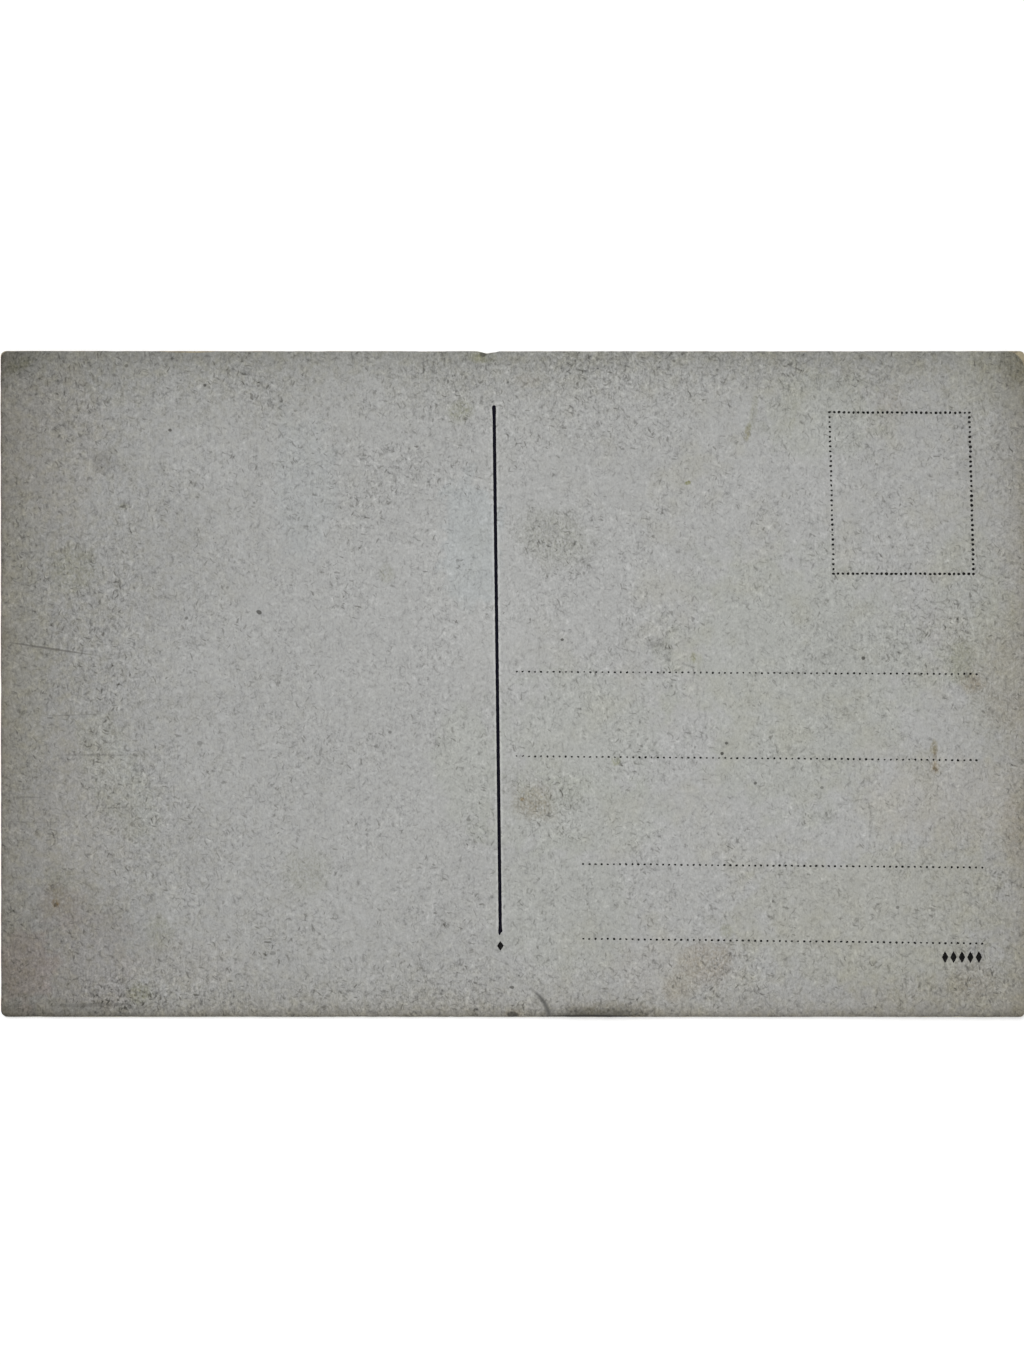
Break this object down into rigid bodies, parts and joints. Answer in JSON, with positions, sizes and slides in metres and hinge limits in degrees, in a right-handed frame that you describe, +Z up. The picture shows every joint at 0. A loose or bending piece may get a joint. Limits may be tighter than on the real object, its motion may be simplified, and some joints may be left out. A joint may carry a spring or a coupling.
{
  "type": "postcard",
  "caption": "Worn old postcard lying address side up: layered pulp board with a divider rule, dotted stamp box, dotted address lines and a printed view underneath.",
  "frame": {"origin": "under the middle of the card, on the face that it rests on", "axes": "+X along the long edge towards the stamp box, +Y towards the top edge, +Z up out of the address side"},
  "size_m": [0.1384, 0.09, 0.0003],
  "materials": {
    "address_paper": "grey-beige flecked pulp paper, matte, toned at the edges",
    "pulp_core": "raw grey-brown pulp, fibrous at the cut edge",
    "picture_paper": "smooth cream paper, slightly glossy",
    "picture_ink": "sepia ink of a printed view, slightly glossy",
    "rule_ink": "blue-black printing ink, matte",
    "dot_ink": "black printing ink, thin and uneven, matte"
  },
  "bodies": {
    "root": {"picture_print": "picture_ink", "picture_ply": "picture_paper", "core_ply": "pulp_core", "address_ply": "address_paper", "divider_rule": "rule_ink", "stamp_box_top": "dot_ink", "stamp_box_bottom": "dot_ink", "stamp_box_left": "dot_ink", "stamp_box_right": "dot_ink", "address_line_1": "dot_ink", "address_line_2": "dot_ink", "address_line_3": "dot_ink", "address_line_4": "dot_ink", "foot_ornament": "dot_ink", "corner_ornament": "dot_ink"}
  },
  "joints": []
}
